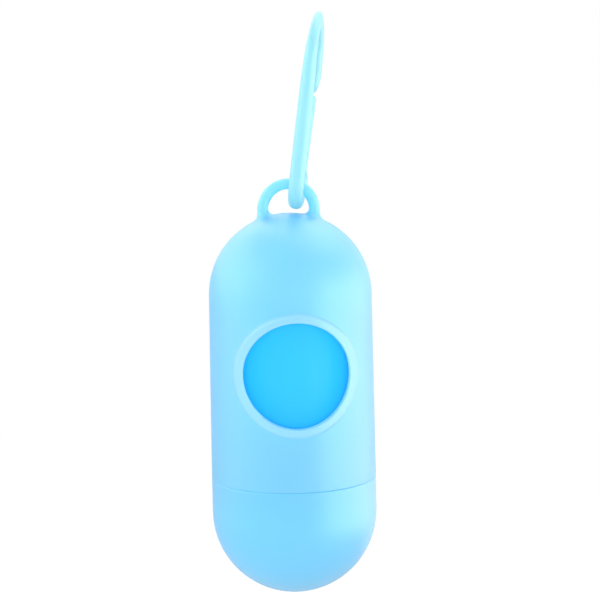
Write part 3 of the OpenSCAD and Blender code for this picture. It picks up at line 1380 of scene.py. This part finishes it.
@dataclass(frozen=True)
class PaintedBoard:
    """Board with matt paint rolled on: white where it is lit, and darker only in the shadow."""

    name: str = "matt_painted_board"
    colour: str = "#F0F1F2"
    white: float = 0.8  # share that is plain white to the eye: the rest keeps the shadow
    glow: float = 1.1  # strength of that white, which makes up for the grey of the rest
    mark_size: float = 2.0
    mark_depth: float = 0.05

    def build(self) -> bpy.types.Material:
        """Makes the material.

        Returns:
            The finished material.
        """
        material, tree, place = start_material(self.name)
        # Roller marks of the paint: they only break up the dull sheen
        marks = add_node(tree, "TexNoise", {"Vector": place, "Scale": per_metre(self.mark_size)})
        depth = self.mark_depth * MM
        relief = add_node(tree, "Bump", {"Height": marks, "Strength": 0.2, "Distance": depth})
        paint = add_node(tree, "BsdfDiffuse", {"Color": linear(self.colour), "Normal": relief})
        seen = {0: white_for_eyes(tree), 1: self.white}
        share = add_node(tree, "Math", {"operation": "MULTIPLY", **seen})
        white = add_node(tree, "Emission", {"Strength": self.glow})
        lit = add_node(tree, "MixShader", {0: share, 1: paint, 2: white})
        # Seen from below, the floor doesn't hide the dispenser
        below = add_node(tree, "NewGeometry").outputs["Backfacing"]
        clear = add_node(tree, "BsdfTransparent")
        both = add_node(tree, "MixShader", {0: below, 1: lit, 2: clear})
        add_node(tree, "OutputMaterial", {"Surface": both})
        return material


@dataclass(frozen=True)
class SoftLamp:
    """One softbox, aimed at the capsule."""

    name: str
    at: Place
    width: float
    height: float
    power: float
    matt: bool = True  # lights what is matt
    gloss: bool = True  # shows in what is glossy
    aim: Place = (-7.0, 0.0, -80.0)

    def build(self) -> None:
        """Hangs the lamp."""
        data = bpy.data.lights.new(self.name, "AREA")
        data.shape = "RECTANGLE"
        data.size = self.width * MM
        data.size_y = self.height * MM
        data.energy = self.power
        lamp = bpy.data.objects.new(self.name, data)
        lamp.location = Vector(self.at) * MM
        way = (Vector(self.aim) - Vector(self.at)).normalized()
        lamp.rotation_euler = way.to_track_quat("-Z", "Y").to_euler()
        lamp.visible_camera = False
        lamp.visible_diffuse = self.matt
        lamp.visible_glossy = self.gloss
        bpy.context.scene.collection.objects.link(lamp)


@dataclass(frozen=True)
class Studio:
    """Pale floor under the hanging dispenser, white surroundings, lamps and the camera."""

    camera_at: Place = (-36.69, -445.43, -7.79)
    aim: Place = (-5.40, -0.16, -64.85)
    roll: float = -1.1264
    lens: float = 112.0
    floor_drop: float = 260.0  # below the cap
    floor_size: float = 3000.0
    floor_finish: PaintedBoard = field(default_factory=PaintedBoard)
    world_light: float = 0.79
    lamps: tuple[SoftLamp, ...] = (
        SoftLamp("front_fill", (-45.0, -640.0, -20.0), 300.0, 300.0, 2.0, gloss=False),
        SoftLamp("left_fill", (-520.0, 20.0, -80.0), 300.0, 300.0, 0.9, gloss=False),
        SoftLamp("right_fill", (520.0, 20.0, -80.0), 300.0, 300.0, 0.5, gloss=False),
        SoftLamp("right_strip", (458.0, -110.0, -105.0), 900.0, 430.0, 3.9, matt=False),
        SoftLamp("right_back", (330.0, 340.0, -150.0), 420.0, 430.0, 0.6, matt=False),
        SoftLamp("left_strip", (-450.0, -60.0, 110.0), 640.0, 480.0, 1.5, matt=False),
        SoftLamp("left_back", (-320.0, 320.0, 170.0), 500.0, 400.0, 0.8, matt=False),
        SoftLamp("top_right", (180.0, 160.0, 560.0), 900.0, 600.0, 2.3),
        SoftLamp("top_back", (160.0, 420.0, 400.0), 1100.0, 700.0, 3.2, matt=False),
    )

    def build_world(self) -> None:
        """Makes the surroundings: white to the eye, and a plain level of light all round."""
        world = bpy.data.worlds.new("white_surroundings")
        world.use_nodes = True
        tree = world.node_tree
        tree.nodes.clear()
        levels = {"To Min": self.world_light, "To Max": 1.0}
        level = add_node(tree, "MapRange", {"Value": white_for_eyes(tree), **levels})
        white = add_node(tree, "Background", {"Color": linear("#FFFFFF"), "Strength": level})
        add_node(tree, "OutputWorld", {"Surface": white})
        bpy.context.scene.world = world

    def build_floor(self) -> None:
        """Lays the floor under the cap."""
        low = CAD_BOX[0].z - self.floor_drop * MM
        half = self.floor_size / 2 * MM
        mesh = bpy.data.meshes.new("floor")
        corners = [(-half, -half, low), (half, -half, low), (half, half, low), (-half, half, low)]
        mesh.from_pydata(corners, [], [(0, 1, 2, 3)])
        floor = bpy.data.objects.new("floor", mesh)
        bpy.context.scene.collection.objects.link(floor)
        mesh.materials.append(self.floor_finish.build())

    def build_camera(self) -> None:
        """Sets the camera where the photograph was taken from."""
        data = bpy.data.cameras.new("camera")
        data.lens = self.lens
        data.sensor_width = 36.0
        data.clip_start, data.clip_end = 0.01, 20.0
        camera = bpy.data.objects.new("camera", data)
        at = Vector(self.camera_at)
        ahead = (Vector(self.aim) - at).normalized()
        right = ahead.cross(Vector((0.0, 0.0, 1.0))).normalized()
        up = right.cross(ahead)
        roll = math.radians(self.roll)
        across = right * math.cos(roll) + up * math.sin(roll)
        upright = up * math.cos(roll) - right * math.sin(roll)
        turn = Matrix((across, upright, -ahead)).transposed()
        camera.matrix_world = Matrix.Translation(at * MM) @ turn.to_4x4()
        bpy.context.scene.collection.objects.link(camera)
        bpy.context.scene.camera = camera

    def build(self) -> None:
        """Builds the whole studio."""
        bpy.context.scene.view_settings.view_transform = "Standard"
        self.build_world()
        self.build_floor()
        for lamp in self.lamps:
            lamp.build()
        self.build_camera()


def report(piece: Piece) -> None:
    """Logs a piece with its size."""
    size = " x ".join(f"{x / MM:.1f}" for x in piece.dimensions)
    LOG.info("%s: %d faces, %s mm", piece.name, len(piece.data.polygons), size)


def main() -> None:
    """Builds the pieces in order, and the studio round them."""
    logging.basicConfig(level=logging.INFO, format="%(name)s: %(message)s")
    sizes = CapsuleSizes()
    eyelet = tuple(sizes.place() / MM)
    hook = SnapHook(
        # Polypropylene, thinner and paler than the capsule: light fills it, so its edges glow
        MouldedPolypropylene(
            "moulded_polypropylene_hook",
            colour="#A4E0EC",
            cloud="#9EDEEB",
            glow="#BCEFF5",
            milkiness=0.45,
            coat=0.3,
        )
    )
    body = Body(
        sizes,
        # Polypropylene from a satin mould: an even sky blue with a soft broad sheen
        MouldedPolypropylene(
            "moulded_polypropylene_body",
            colour="#96E6FB",
            cloud="#92E3FA",
            glow="#B4F0FF",
            milkiness=0.55,
            line=PartingLine((0.0, 1.0, 0.0), eyelet),
            # Painted highlight: a paler tone on the window's rim, for the light that its rounded
            # sides catch
            rim=PaintedRimHighlight(
                "#B2E6FA",
                (eyelet[0], eyelet[1] - sizes.radius, eyelet[2] + sizes.window_z),
                radius=14.7,
            ),
        ),
    )
    cap = ScrewCap(
        sizes,
        # The same polypropylene with a thicker wall, so it looks a shade deeper than the body
        MouldedPolypropylene(
            "moulded_polypropylene_cap",
            colour="#7EE0FC",
            cloud="#7ADEFB",
            glow="#9CE6FF",
            milkiness=0.45,
        ),
    )
    roll = BagRoll(sizes, BlownFilm("blown_polyethylene_film", "#32C3FF"))
    for piece in hook.build():
        report(piece)
    for maker in (body, cap, RollCore(), roll):
        report(maker.build())
    Studio().build()


if __name__ == "__main__":
    main()
